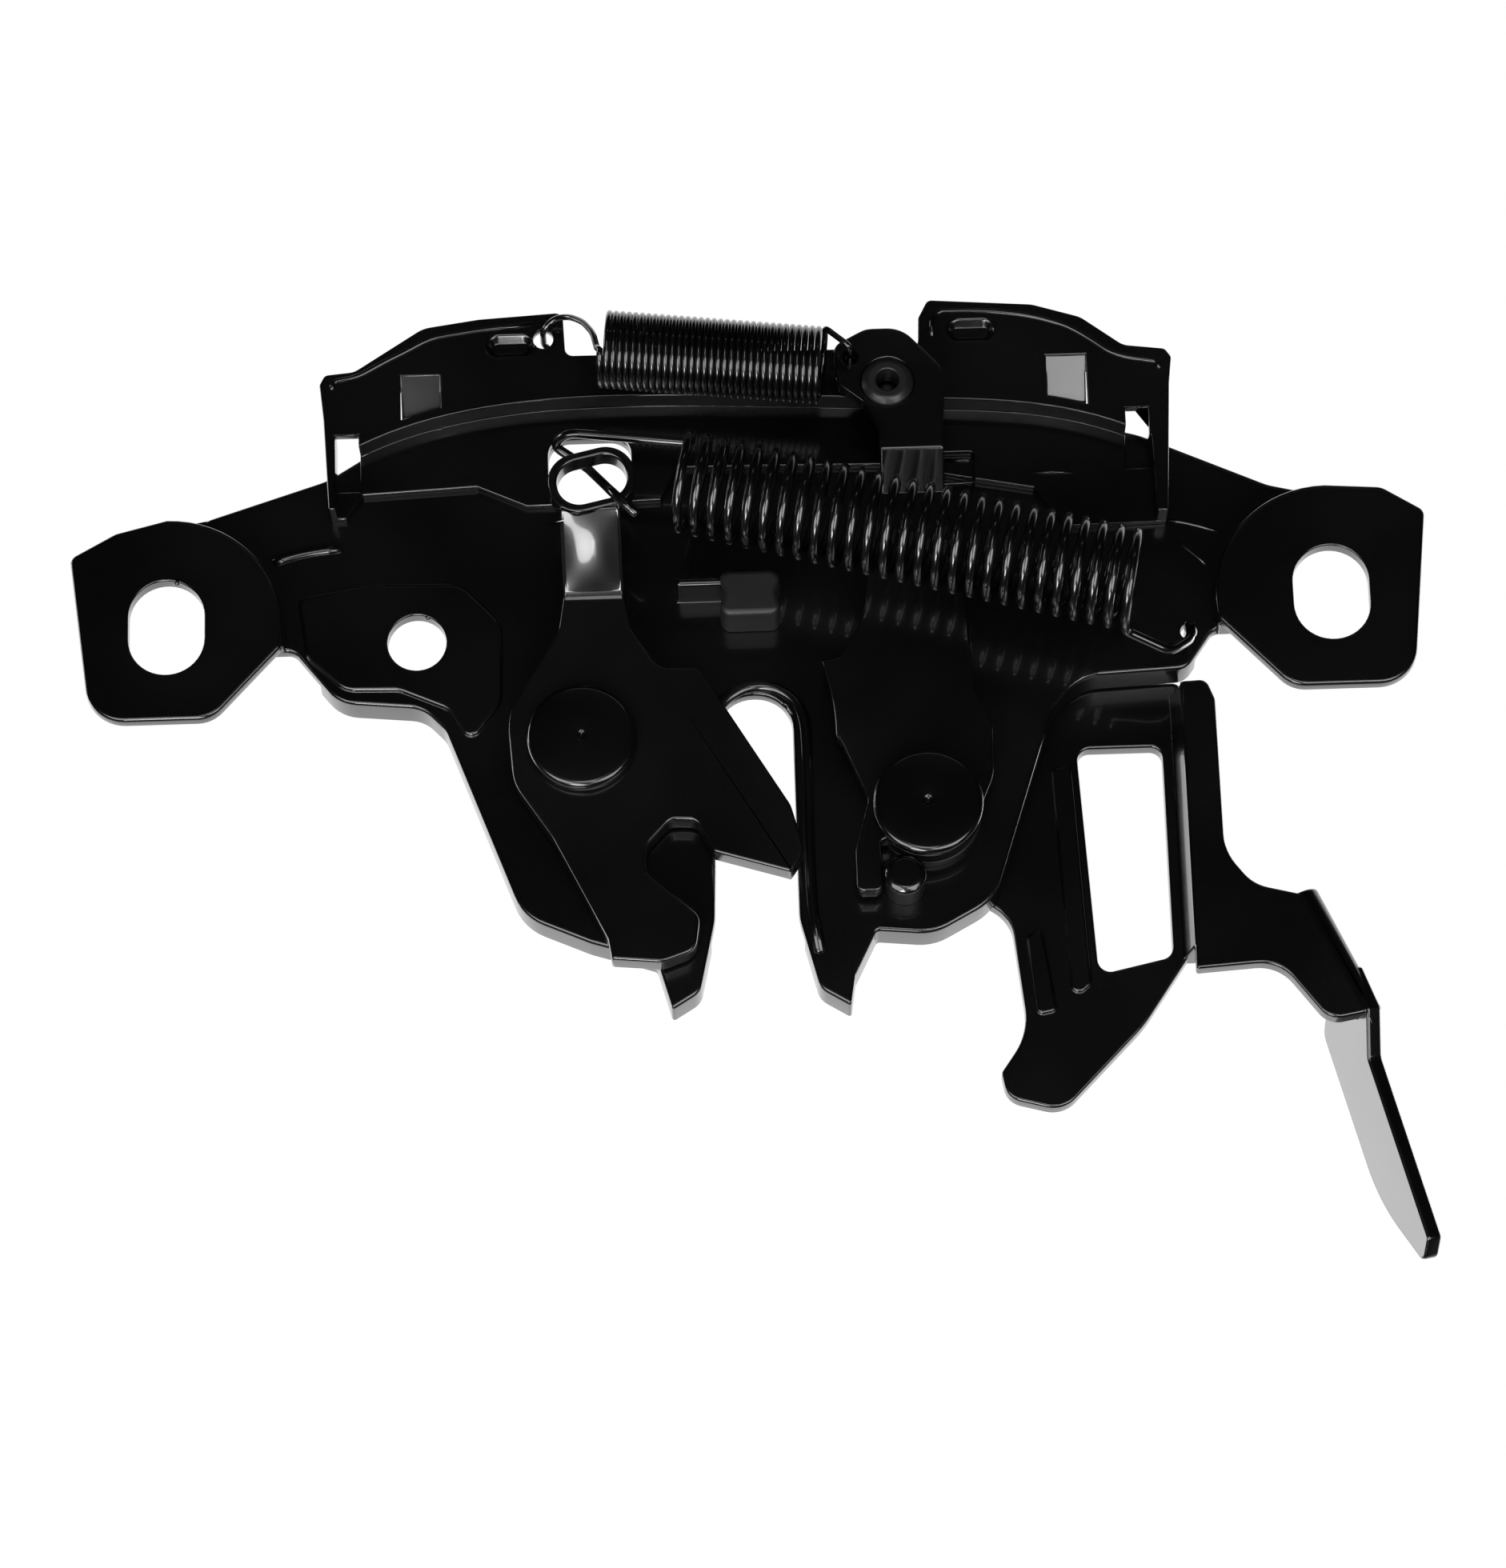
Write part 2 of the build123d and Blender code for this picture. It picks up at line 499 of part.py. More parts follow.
# Safety lever: flat behind the plate, web turned forwards, handle and finger blade.
lever_rear = lever_front + lever_sheet
web_x = 61.4
with BuildPart() as safety_lever:
    with BuildSketch(face_at(lever_rear)):
        with BuildLine():
            FilletPolyline(
                (45.0, -9.2), (web_x + handle_web, -9.2), (web_x + handle_web, -50.4), (55.8, -62.4),
                (43.4, -75.1), (35.3, -72.9), (34.6, -69.0), (38.8, -63.0), (37.0, -45.2),
                (33.0, -42.6), (14.0, -42.6), (13.2, -21.0), (38.0, -19.4),
                radius=[4, 1.5, 3, 20, 4.5, 3.2, 1.2, 10, 6, 4, 11, 11, 5], close=True)
        make_face()
        with BuildLine():
            FilletPolyline(
                (47.9, -19.3), (web_x - 0.9, -19.3), (web_x - 0.9, -52.0), (49.6, -54.4),
                radius=1.8, close=True)
        make_face(mode=Mode.SUBTRACT)
        with Locations(pawl_pivot):
            Circle(lever_journal_radius + running_clearance, mode=Mode.SUBTRACT)
        with Locations(lever_leg_at):
            Circle(leg_hole_radius, mode=Mode.SUBTRACT)
    extrude(amount=lever_sheet)
    # Shallow pressed rib beside the window and a raised strip along the lower left edge.
    with BuildSketch(face_at(lever_front + 0.2)):
        with BuildLine():
            FilletPolyline((44.0, -22.0), (47.0, -22.0), (48.4, -56.0), (45.4, -58.6), radius=1.2, close=True)
        make_face()
        with BuildLine():
            FilletPolyline((39.2, -48.6), (41.4, -46.6), (43.2, -60.0), (40.2, -60.6), radius=1.0, close=True)
        make_face()
    extrude(amount=0.7)
    # Web that leans outwards as it comes forwards.
    with BuildSketch(Plane.XY.offset(-52.4)):
        with BuildLine():
            Polyline(
                (web_x, lever_rear), (web_x + handle_web, lever_rear),
                (web_x + web_slant + handle_web, handle_front), (web_x + web_slant, handle_front), close=True)
        make_face()
    extrude(amount=41.0)
    # Handle, with its outer edge bent rearwards.
    bend_along = Vector(math.sin(math.radians(handle_bend_tilt)), 0, -math.cos(math.radians(handle_bend_tilt)))
    bend_right = Vector(-bend_along.Z, 0, bend_along.X)
    bend_foot = (
        handle_bend_top[0] + handle_bend_length * bend_along.X,
        handle_bend_top[1] + handle_bend_length * bend_along.Z)
    with BuildSketch(face_at(handle_front + lever_sheet)):
        with BuildLine():
            FilletPolyline(
                (web_x + web_slant, -11.2), (67.2, -11.0), (68.4, -14.2), (68.5, -38.0), (72.4, -43.2),
                handle_bend_top, bend_foot, (82.2, -64.4), (75.4, -55.2), (web_x + web_slant, -56.0),
                radius=[0, 1.5, 2, 8, 6, 0, 0, 3.4, 6, 0], close=True)
        make_face()
    extrude(amount=lever_sheet)
    bend_plane = Plane(
        origin=(handle_bend_top[0], handle_front, handle_bend_top[1]), x_dir=bend_right, z_dir=bend_along)
    with BuildSketch(bend_plane):
        with BuildLine():
            outer_arc = CenterArc((0, -handle_bend_radius), handle_bend_radius, 90, -108)
            inner_arc = CenterArc((0, -handle_bend_radius), handle_bend_radius - lever_sheet, 90, -108)
            flange_way = outer_arc % 1 * 4.0
            Polyline(
                outer_arc @ 1, outer_arc @ 1 + flange_way, inner_arc @ 1 + flange_way, inner_arc @ 1)
            Line(outer_arc @ 0, inner_arc @ 0)
        make_face()
    extrude(amount=handle_bend_length)
    # Finger blade below the bend: its front edge steps back, its rear edge curves in to the tip.
    finger_along = Vector(0.2451, 0, -0.9695)
    finger_across = Vector(-0.407, 0.9134, 0)
    finger_plane = Plane(
        origin=(86.1, handle_front, -46.4), x_dir=finger_along, z_dir=finger_along.cross(finger_across))
    with BuildSketch(finger_plane):
        with BuildLine():
            FilletPolyline(
                (16.5, 0.8), (22.8, finger_front), (finger_length - 2.7, finger_front), (finger_length, 8.0),
                (41.5, finger_rear), (15.0, finger_rear), (9.5, 8.5), (9.5, 2.0),
                radius=[0.4, 2, 0.8, 1.2, 24, 3, 1, 0.4], close=True)
        make_face()
    extrude(amount=-finger_sheet)

# Main spring: open coil, a hook through the claw's eye and a hook into the plate's right arm.
main_start = Vector(-9.6, -11.0, 17.4)
main_end = Vector(56.6, -11.0, -0.7)
main_axis = (main_end - main_start).normalized()
main_length = (main_end - main_start).length
with BuildPart() as main_spring:
    with BuildLine() as main_coil:
        Helix(
            pitch=main_length / main_turns, height=main_length, radius=main_coil_radius,
            center=main_start, direction=main_axis)
    coil_start = main_coil.line @ 0
    start_way = main_coil.line % 0
    coil_end = main_coil.line @ 1
    end_way = main_coil.line % 1
    with BuildSketch(Plane(origin=coil_start, z_dir=start_way)):
        Circle(main_wire / 2)
    sweep(path=main_coil.line, is_frenet=True)
    with BuildLine() as eye_hook:
        FilletPolyline(
            coil_start, coil_start - start_way * 1.9, (-26.2, -9.6, 26.2), (-28.4, -6.4, 25.6),
            (-23.6, hook_rear, 22.4), (-19.2, hook_front, 14.2), (-16.0, hook_front, 11.0), radius=1.2)
    with BuildSketch(Plane(origin=coil_start, z_dir=-start_way)):
        Circle(main_wire / 2)
    sweep(path=eye_hook.line)
    with BuildLine() as plate_hook:
        FilletPolyline(
            coil_end, coil_end + end_way * 2.4, (61.6, -5.0, -9.6), (65.0, -1.6, -6.4),
            (spring_anchor_at[0], -0.6, spring_anchor_at[1]),
            (spring_anchor_at[0], plate_rear + 1.2, spring_anchor_at[1]), radius=1.2)
    with BuildSketch(Plane(origin=coil_end, z_dir=end_way)):
        Circle(main_wire / 2)
    sweep(path=plate_hook.line)

# Pawl spring: close coil from the left ear's corner to the pawl's arm.
pawl_start = Vector(-20.6, -9.5, 39.6)
pawl_end = Vector(12.0, -9.5, 35.8)
pawl_axis = (pawl_end - pawl_start).normalized()
pawl_length = (pawl_end - pawl_start).length
with BuildPart() as pawl_spring:
    with BuildLine() as pawl_coil:
        Helix(
            pitch=pawl_length / pawl_turns, height=pawl_length, radius=pawl_coil_radius,
            center=pawl_start, direction=pawl_axis)
    coil_start = pawl_coil.line @ 0
    start_way = pawl_coil.line % 0
    coil_end = pawl_coil.line @ 1
    end_way = pawl_coil.line % 1
    with BuildSketch(Plane(origin=coil_start, z_dir=start_way)):
        Circle(pawl_wire / 2)
    sweep(path=pawl_coil.line, is_frenet=True)
    with BuildLine() as ear_hook:
        FilletPolyline(
            coil_start, coil_start - start_way * 1.6, (-25.8, -5.6, 46.4), (-29.0, -5.0, 45.6),
            (ear_hole_at[0], -3.9, ear_hole_at[1]), (ear_hole_at[0], -0.3, ear_hole_at[1]),
            (-26.6, -0.3, 42.4), radius=0.9)
    with BuildSketch(Plane(origin=coil_start, z_dir=-start_way)):
        Circle(pawl_wire / 2)
    sweep(path=ear_hook.line)
    with BuildLine() as arm_hook:
        FilletPolyline(
            coil_end, coil_end + end_way * 1.6, (arm_hole_at[0], -11.2, arm_hole_at[1]),
            (arm_hole_at[0], -3.2, arm_hole_at[1]), radius=0.9)
    with BuildSketch(Plane(origin=coil_end, z_dir=end_way)):
        Circle(pawl_wire / 2)
    sweep(path=arm_hook.line)

# Lever spring: a short torsion coil round the bush, one leg in the plate and one in the lever.
lever_start = Vector(pawl_pivot[0], plate_rear + 0.65, pawl_pivot[1])
with BuildPart() as lever_spring:
    with BuildLine() as lever_coil:
        Helix(
            pitch=lever_pitch, height=lever_pitch * lever_turns, radius=lever_coil_radius,
            center=lever_start, direction=(0, 1, 0))
    coil_start = lever_coil.line @ 0
    start_way = lever_coil.line % 0
    coil_end = lever_coil.line @ 1
    end_way = lever_coil.line % 1
    with BuildSketch(Plane(origin=coil_start, z_dir=start_way)):
        Circle(lever_wire / 2)
    sweep(path=lever_coil.line, is_frenet=True)
    with BuildLine() as plate_leg:
        FilletPolyline(
            coil_start, (plate_leg_at[0], coil_start.Y - 0.1, plate_leg_at[1]),
            (plate_leg_at[0], plate_front + 0.4, plate_leg_at[1]), radius=0.7)
    with BuildSketch(Plane(origin=coil_start, z_dir=-start_way)):
        Circle(lever_wire / 2)
    sweep(path=plate_leg.line)
    with BuildLine() as lever_leg:
        FilletPolyline(
            coil_end, (lever_leg_at[0], coil_end.Y + 0.1, lever_leg_at[1]),
            (lever_leg_at[0], lever_rear - 0.6, lever_leg_at[1]), radius=0.7)
    with BuildSketch(Plane(origin=coil_end, z_dir=end_way)):
        Circle(lever_wire / 2)
    sweep(path=lever_leg.line)

base_plate.part.label = "base_plate"
export_step(base_plate.part, "parts/base_plate.step")
top_bracket.part.label = "top_bracket"
export_step(top_bracket.part, "parts/top_bracket.step")
claw.part.label = "claw"
export_step(claw.part, "parts/claw.step")
pawl.part.label = "pawl"
export_step(pawl.part, "parts/pawl.step")
safety_lever.part.label = "safety_lever"
export_step(safety_lever.part, "parts/safety_lever.step")
claw_rivet.part.label = "claw_rivet"
export_step(claw_rivet.part, "parts/claw_rivet.step")
pawl_rivet.part.label = "pawl_rivet"
export_step(pawl_rivet.part, "parts/pawl_rivet.step")
claw_front_washer.part.label = "claw_front_washer"
export_step(claw_front_washer.part, "parts/claw_front_washer.step")
claw_rear_washer.part.label = "claw_rear_washer"
export_step(claw_rear_washer.part, "parts/claw_rear_washer.step")
pawl_front_washer.part.label = "pawl_front_washer"
export_step(pawl_front_washer.part, "parts/pawl_front_washer.step")
pawl_rear_washer.part.label = "pawl_rear_washer"
export_step(pawl_rear_washer.part, "parts/pawl_rear_washer.step")
lever_bush.part.label = "lever_bush"
export_step(lever_bush.part, "parts/lever_bush.step")
lever_washer.part.label = "lever_washer"
export_step(lever_washer.part, "parts/lever_washer.step")
main_spring.part.label = "main_spring"
export_step(main_spring.part, "parts/main_spring.step")
pawl_spring.part.label = "pawl_spring"
export_step(pawl_spring.part, "parts/pawl_spring.step")
lever_spring.part.label = "lever_spring"
export_step(lever_spring.part, "parts/lever_spring.step")
stop_buffer.part.label = "stop_buffer"
export_step(stop_buffer.part, "parts/stop_buffer.step")
stop_pin.part.label = "stop_pin"
export_step(stop_pin.part, "parts/stop_pin.step")
stop_sleeve.part.label = "stop_sleeve"
export_step(stop_sleeve.part, "parts/stop_sleeve.step")
cable_bush.part.label = "cable_bush"
export_step(cable_bush.part, "parts/cable_bush.step")
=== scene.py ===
import json
import math

import bpy
from mathutils import Matrix, Vector


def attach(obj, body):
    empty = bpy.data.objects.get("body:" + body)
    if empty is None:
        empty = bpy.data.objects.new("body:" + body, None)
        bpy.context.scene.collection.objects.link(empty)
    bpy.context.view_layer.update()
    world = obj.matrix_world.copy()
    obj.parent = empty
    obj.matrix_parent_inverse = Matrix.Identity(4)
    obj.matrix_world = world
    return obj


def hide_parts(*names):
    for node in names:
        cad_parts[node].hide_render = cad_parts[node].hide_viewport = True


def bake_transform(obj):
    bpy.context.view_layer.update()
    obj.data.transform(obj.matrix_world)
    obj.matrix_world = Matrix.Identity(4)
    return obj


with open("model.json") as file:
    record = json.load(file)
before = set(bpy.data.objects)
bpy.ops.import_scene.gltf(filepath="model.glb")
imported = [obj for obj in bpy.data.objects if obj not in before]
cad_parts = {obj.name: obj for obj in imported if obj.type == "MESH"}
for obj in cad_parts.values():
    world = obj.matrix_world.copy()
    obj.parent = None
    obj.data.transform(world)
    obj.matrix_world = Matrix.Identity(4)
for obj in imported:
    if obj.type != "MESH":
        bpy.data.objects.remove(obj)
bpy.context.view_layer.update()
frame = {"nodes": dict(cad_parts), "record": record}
print("stage: frame loaded")

mm = 0.001
scene = bpy.context.scene
nodesByName = frame["nodes"]


# Values in a shader graph, which add, subtract and multiply like numbers.
class Flow:
    def __init__(self, graph, socket):
        self.graph = graph
        self.socket = socket

    def __add__(self, other):
        return self.graph.reckon("ADD", self, other)

    def __radd__(self, other):
        return self.graph.reckon("ADD", other, self)

    def __sub__(self, other):
        return self.graph.reckon("SUBTRACT", self, other)

    def __rsub__(self, other):
        return self.graph.reckon("SUBTRACT", other, self)

    def __mul__(self, other):
        return self.graph.reckon("MULTIPLY", self, other)

    def __rmul__(self, other):
        return self.graph.reckon("MULTIPLY", other, self)

    def clipped(self, low, high, outLow=0.0, outHigh=1.0):
        return self.graph.node("ShaderNodeMapRange", {"interpolation_type": "SMOOTHSTEP"}, {
            "Value": self, "From Min": low, "From Max": high, "To Min": outLow, "To Max": outHigh})


class Graph:
    def __init__(self, tree):
        self.tree = tree
        tree.nodes.clear()

    def plug(self, target, value):
        if isinstance(value, Flow):
            self.tree.links.new(value.socket, target)
        else:
            target.default_value = value

    def node(self, kind, settings=None, sockets=None, out=0):
        made = self.tree.nodes.new(kind)
        for key, value in (settings or {}).items():
            setattr(made, key, value)
        for key, value in (sockets or {}).items():
            self.plug(made.inputs[key], value)
        return Flow(self, made.outputs[out]) if len(made.outputs) else made

    def reckon(self, operation, first, second):
        return self.node("ShaderNodeMath", {"operation": operation}, {0: first, 1: second})

    # Mixes two colours; a colour mix has its inputs at 6 and 7 and its output at 2.
    def tint(self, share, first, second):
        return self.node("ShaderNodeMix", {"data_type": "RGBA"}, {
            0: share, 6: first, 7: second}, out=2)

    def shifted(self, vector, amount):
        return self.node("ShaderNodeVectorMath", {"operation": "ADD"}, {0: vector, 1: amount})

    def noise(self, vector, scale, detail=3.0, rough=0.5):
        return self.node("ShaderNodeTexNoise", {}, {
            "Vector": vector, "Scale": scale, "Detail": detail, "Roughness": rough})


def grey(value, warm=0.0):
    return (value * (1 + warm), value, value * (1 - warm), 1.0)


white = grey(1.0)

# Black paint on stamped steel: thin gloss coat, fine orange peel, faint dust and rubbed patches.
# Each noise is its scale, detail and roughness; each range is where it fades in.
paintLook = {
    "offset": (0.0, 0.0, 0.0), "broad": (38.0, 2.0, 0.5), "fine": (900.0, 3.0, 0.55),
    "peel": (520.0, 2.0, 0.5), "speck": (1500.0, 1.0, 0.4),
    "speckRange": (0.72, 0.8), "patchRange": (0.35, 0.7),
    "speckShare": 0.1, "speckTone": 0.012, "speckWarmth": 0.04,
    "dark": 0.0008, "light": 0.0016, "lightWarmth": 0.02,
    "rough": 0.22, "roughSpread": 0.04, "patchRough": 0.03,
    "peelHeight": 0.006, "broadHeight": 0.3, "fineHeight": 0.001,
    "bumpStrength": 0.5, "bumpDistance": 0.001,
    "metal": 0.0, "ior": 1.5, "coat": 0.6, "coatRough": 0.06, "coatIor": 1.5,
}


def paintMaterial(name, look):
    material = bpy.data.materials.new(name)
    material.use_nodes = True
    graph = Graph(material.node_tree)
    place = graph.shifted(graph.node("ShaderNodeTexCoord", out="Object"), look["offset"])
    broad = graph.noise(place, *look["broad"])
    fine = graph.noise(place, *look["fine"])
    peel = graph.noise(place, *look["peel"])
    specks = graph.noise(place, *look["speck"]).clipped(*look["speckRange"])
    patch = broad.clipped(*look["patchRange"])
    base = graph.tint(patch, grey(look["dark"]), grey(look["light"], look["lightWarmth"]))
    dust = grey(look["speckTone"], look["speckWarmth"])
    base = graph.tint(specks * look["speckShare"], base, dust)
    rough = look["rough"] + (fine - 0.5) * look["roughSpread"] + patch * look["patchRough"]
    height = peel * look["peelHeight"] + broad * look["broadHeight"] + fine * look["fineHeight"]
    bump = graph.node("ShaderNodeBump", {}, {
        "Strength": look["bumpStrength"], "Distance": look["bumpDistance"], "Height": height})
    shader = graph.node("ShaderNodeBsdfPrincipled", {}, {
        "Base Color": base, "Roughness": rough, "Metallic": look["metal"], "IOR": look["ior"],
        "Coat Weight": look["coat"], "Coat Roughness": look["coatRough"],
        "Coat IOR": look["coatIor"], "Normal": bump, "Coat Normal": bump})
    graph.node("ShaderNodeOutputMaterial", {}, {"Surface": shader})
    return material


# What each finish changes in the black paint.
slotLooks = {
    "plate_paint": {"offset": (0.3, 0.0, 0.0)},
    "bracket_paint": {"offset": (0.9, 0.2, 0.0), "rough": 0.2},
    "claw_paint": {"offset": (0.1, 0.7, 0.4), "broadHeight": 0.2, "light": 0.0022},
    "pawl_paint": {"offset": (0.5, 0.3, 0.8), "broadHeight": 0.2, "light": 0.0028},
    "lever_paint": {"offset": (0.2, 0.1, 0.6), "broadHeight": 0.4},
    "rivet_paint": {"offset": (0.4, 0.4, 0.1), "broadHeight": 0.2, "rough": 0.2},
    "washer_steel": {"offset": (0.7, 0.1, 0.2), "broadHeight": 0.1, "metal": 0.8, "dark": 0.012,
                     "light": 0.03, "rough": 0.34, "coat": 0.1},
    "spring_wire": {"offset": (0.6, 0.6, 0.3), "broadHeight": 0.1, "rough": 0.2, "coat": 0.8,
                    "coatRough": 0.05},
    "buffer_rubber": {"offset": (0.1, 0.5, 0.9), "dark": 0.006, "light": 0.01, "rough": 0.45,
                      "coat": 0.0, "speckShare": 0.5},
    "bush_plastic": {"offset": (0.8, 0.5, 0.2), "dark": 0.006, "light": 0.01, "rough": 0.36,
                     "coat": 0.1},
}
finishes = {}
for slotName, look in slotLooks.items():
    finishes[slotName] = paintMaterial(slotName, dict(paintLook, **look))
print("stage: materials")

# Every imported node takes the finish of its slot.
slotOfNode = {entry["node"]: entry["material_slot"] for entry in frame["record"]["subparts"]}
for nodeName, item in nodesByName.items():
    item.data.materials.clear()
    item.data.materials.append(finishes[slotOfNode[nodeName]])


# An object in the scene from corners in metres; isSmooth tells which faces shade smoothly.
def meshPiece(name, vertices, faces, isSmooth):
    mesh = bpy.data.meshes.new(name)
    mesh.from_pydata(vertices, [], faces)
    mesh.validate()
    for polygon in mesh.polygons:
        polygon.use_smooth = isSmooth(polygon)
    made = bpy.data.objects.new(name, mesh)
    scene.collection.objects.link(made)
    return made


tubeEnd = 0.35


# A closed round tube along points, with a low cone of tubeEnd radii at each end.
def tubeMesh(name, points, radius, sides):
    points = [Vector(p) for p in points]
    vertices, faces = [], []
    tangents = []
    for i in range(len(points)):
        before = points[max(i - 1, 0)]
        after = points[min(i + 1, len(points) - 1)]
        tangents.append((after - before).normalized())
    normal = tangents[0].orthogonal().normalized()
    for i, point in enumerate(points):
        normal = (normal - tangents[i] * normal.dot(tangents[i])).normalized()
        side = tangents[i].cross(normal)
        for k in range(sides):
            a = 2 * math.pi * k / sides
            vertices.append(point + radius * (math.cos(a) * normal + math.sin(a) * side))
    for i in range(len(points) - 1):
        for k in range(sides):
            n = (k + 1) % sides
            faces.append((i * sides + k, i * sides + n, (i + 1) * sides + n, (i + 1) * sides + k))
    first = len(vertices)
    vertices.append(points[0] - tangents[0] * radius * tubeEnd)
    vertices.append(points[-1] + tangents[-1] * radius * tubeEnd)
    last = (len(points) - 1) * sides
    for k in range(sides):
        n = (k + 1) % sides
        faces.append((first, n, k))
        faces.append((first + 1, last + k, last + n))
    return meshPiece(name, [tuple(v * mm) for v in vertices], faces, lambda polygon: True)


# A smooth run of points through corners, each rounded over reach or just under half a side.
def rounded(corners, reach, steps=7, most=0.48):
    corners = [Vector(c) for c in corners]
    out = [corners[0]]
    for i in range(1, len(corners) - 1):
        back = corners[i - 1] - corners[i]
        ahead = corners[i + 1] - corners[i]
        cut = min(reach, back.length * most, ahead.length * most)
        start = corners[i] + back.normalized() * cut
        end = corners[i] + ahead.normalized() * cut
        for s in range(steps + 1):
            t = s / steps
            out.append(start * (1 - t) ** 2 + corners[i] * 2 * t * (1 - t) + end * t ** 2)
    out.append(corners[-1])
    return out


# Points of a coil between the look's start and end, which begins at the angle phase.
def coilPoints(look):
    start, end, turns, phase = look["start"], look["end"], look["turns"], look["phase"]
    axis = (end - start).normalized()
    up = Vector((-axis.z, 0, axis.x))
    front = Vector((0, -1, 0))
    count = int(turns * look["steps"])
    out = []
    for i in range(count + 1):
        a = phase + (2 * math.pi * turns - phase) * i / count
        around = math.cos(a) * up + math.sin(a) * front
        out.append(start + (end - start) * (i / count) + look["radius"] * around)
    return out


# Points of a torsion coil about the Y direction.
def torsionPoints(look):
    turns = look["turns"]
    count = int(turns * look["steps"])
    out = []
    for i in range(count + 1):
        a = 2 * math.pi * turns * i / count
        out.append(look["centre"] + Vector((
            look["radius"] * math.sin(a), look["pitch"] * turns * i / count,
            look["radius"] * math.cos(a))))
    return out


# A coil with a hook before it and a tail after it, as one wire. The away corners are taken from the
# coil's end, the others are places.
def springWire(name, look, coil):
    hook, tail = look["hook"], look["tail"]
    hookStart = [coil[0]] + [coil[0] + Vector(way) for way in hook["away"]]
    tailStart = [coil[-1]] + [coil[-1] + Vector(way) for way in tail["away"]]
    before = rounded(hookStart + hook["corners"], hook["reach"])
    after = rounded(tailStart + tail["corners"], tail["reach"])
    points = list(reversed(before[1:])) + coil + after[1:]
    return tubeMesh(name, points, look["wire"] / 2, look["sides"])


# Main spring: hooked through the claw's eye on the left and into the plate on the right.
mainSpringLook = {
    "wire": 1.45, "radius": 7.05, "turns": 26.5, "sides": 12, "steps": 44, "phase": 0.0,
    "start": Vector((-9.6, -11.0, 17.4)), "end": Vector((56.6, -11.0, -0.7)),
    "hook": {"away": [(-0.1, 1.9, 0)], "reach": 2.0, "corners": [
        (-26.2, -9.6, 26.2), (-28.4, -6.4, 25.6), (-23.6, -5.6, 22.4), (-19.2, -14.2, 14.2),
        (-16.0, -14.2, 11.0)]},
    "tail": {"away": [(0.1, 2.4, 0)], "reach": 1.8, "corners": [
        (61.6, -5.0, -9.6), (65.0, -1.6, -6.4), (65.0, -0.6, -3.6), (65.0, 6.2, -3.6)]},
}
mainSpringPiece = springWire("mainSpringWire", mainSpringLook, coilPoints(mainSpringLook))

# Pawl spring: hooked into the left ear and through the pawl's arm.
pawlSpringLook = {
    "wire": 0.96, "radius": 5.4, "turns": 34.0, "sides": 10, "steps": 36, "phase": 2.0,
    "start": Vector((-20.6, -9.5, 39.6)), "end": Vector((12.0, -9.5, 35.8)),
    "hook": {"away": [], "reach": 1.4, "corners": [
        (-21.3, -13.4, 38.0), (-21.9, -11.4, 41.4), (-23.4, -8.8, 44.4), (-25.4, -6.4, 46.4),
        (-27.6, -4.9, 47.0), (-29.6, -3.9, 45.6), (-29.6, -0.3, 44.4), (-27.4, -0.3, 43.2)]},
    "tail": {"away": [(0, -1.6, 0)], "reach": 1.2, "corners": [
        (16.2, -11.2, 38.0), (16.2, -3.2, 38.0)]},
}
pawlSpringPiece = springWire("pawlSpringWire", pawlSpringLook, coilPoints(pawlSpringLook))

# Lever spring: wound round the pivot behind the plate, with one leg in it and one in the lever.
leverSpringLook = {
    "wire": 1.1, "radius": 7.6, "turns": 2.25, "sides": 12, "steps": 60, "pitch": 1.16,
    "centre": Vector((25.2, 5.65, -31.5)),
    "hook": {"away": [], "reach": 1.0, "corners": [(18.5, 5.55, -23.9), (18.5, 2.8, -23.9)]},
    "tail": {"away": [], "reach": 1.0, "corners": [(32.8, 8.36, -37.0), (32.8, 11.4, -37.0)]},
}
leverSpringPiece = springWire("leverSpringWire", leverSpringLook, torsionPoints(leverSpringLook))


# A closed solid turned about the Y direction at a place (x, z), from (radius, y) corners.
def turnedMesh(name, at, profile, steps):
    vertices, faces = [], []
    for radius, y in profile:
        for k in range(steps):
            a = 2 * math.pi * k / steps
            x, z = at[0] + radius * math.cos(a), at[1] + radius * math.sin(a)
            vertices.append((x * mm, y * mm, z * mm))
    for i in range(len(profile) - 1):
        for k in range(steps):
            n = (k + 1) % steps
            faces.append((i * steps + k, i * steps + n, (i + 1) * steps + n, (i + 1) * steps + k))
    faces.append(tuple(range(steps - 1, -1, -1)))
    faces.append(tuple((len(profile) - 1) * steps + k for k in range(steps)))
    return meshPiece(name, vertices, faces, lambda polygon: len(polygon.vertices) == 4)


# Flat-topped rivet heads with a rolled rim and a small centre mark. Lengths are in mm, and top,
# seat and shoulderEnd are places along Y.
rivetShape = {
    "head": 8.1, "top": -4.75, "seat": -3.0, "roll": 0.95, "edge": 0.08,
    "shoulder": 5.0, "shoulderEnd": 2.4, "shank": 4.0, "tailRound": 2.6,
    "markDepth": 0.16, "markSlope": 0.14, "markLip": 0.02, "markRim": 0.3,
    "middle": 0.02, "arcSteps": 6, "steps": 96,
}
clawRivetLook = {
    "at": (-25.0, -19.7), "tailStart": 5.0, "tailRadius": 6.0, "tailHeight": 1.9, "mark": 0.5,
}
pawlRivetLook = {
    "at": (25.2, -31.5), "tailStart": 13.4, "tailRadius": 6.4, "tailHeight": 1.9, "mark": 0.6,
}


